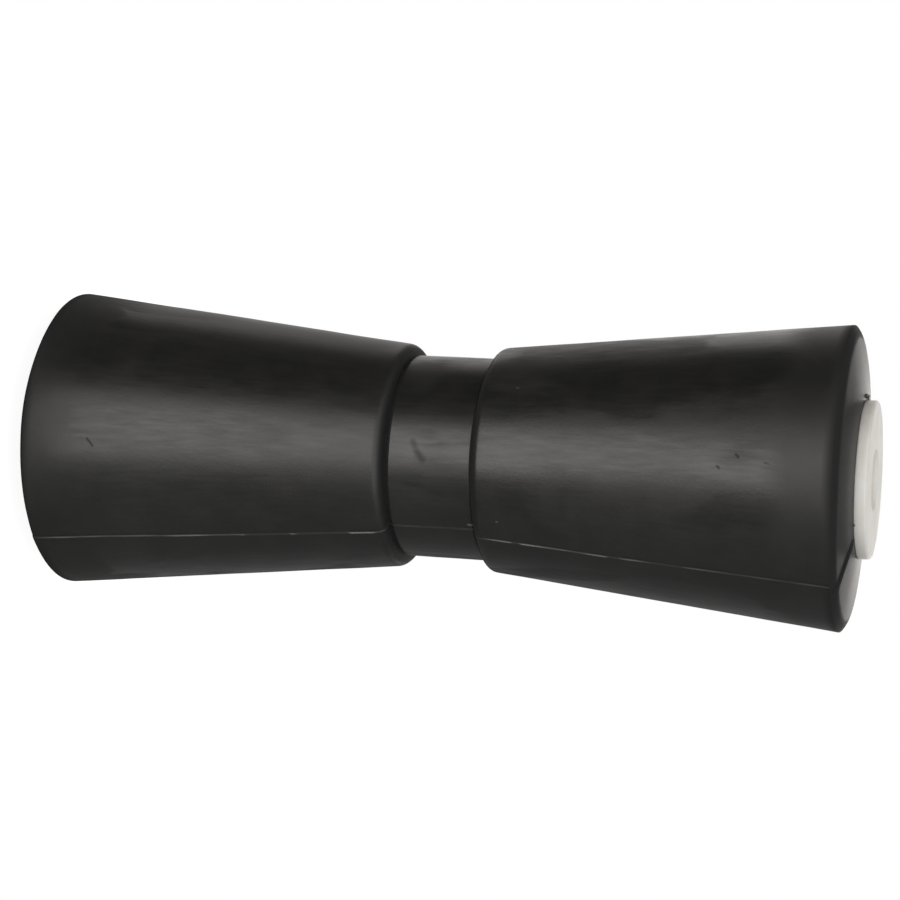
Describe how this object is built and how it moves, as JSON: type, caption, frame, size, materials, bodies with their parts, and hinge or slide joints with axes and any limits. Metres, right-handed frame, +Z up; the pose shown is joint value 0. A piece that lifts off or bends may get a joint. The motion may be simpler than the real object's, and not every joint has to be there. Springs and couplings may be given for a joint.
{
  "type": "boat trailer keel roller",
  "caption": "Hourglass keel roller for a boat trailer: two black rubber cones on a short neck, bored through, with flanged nylon end sleeves.",
  "frame": {"origin": "middle of the lower flange's outer face, on the spindle's axis, at the bottom of the part standing on its end", "axes": "+Z up along the spindle's axis; the mould's parting line lies in the XZ plane"},
  "size_m": [0.0896, 0.0888, 0.2522],
  "materials": {
    "rubber": "satin, as moulded",
    "nylon": "natural, slightly translucent"
  },
  "bodies": {
    "root": {"roller_body": "rubber", "lower_sleeve": "nylon", "upper_sleeve": "nylon"}
  },
  "joints": []
}
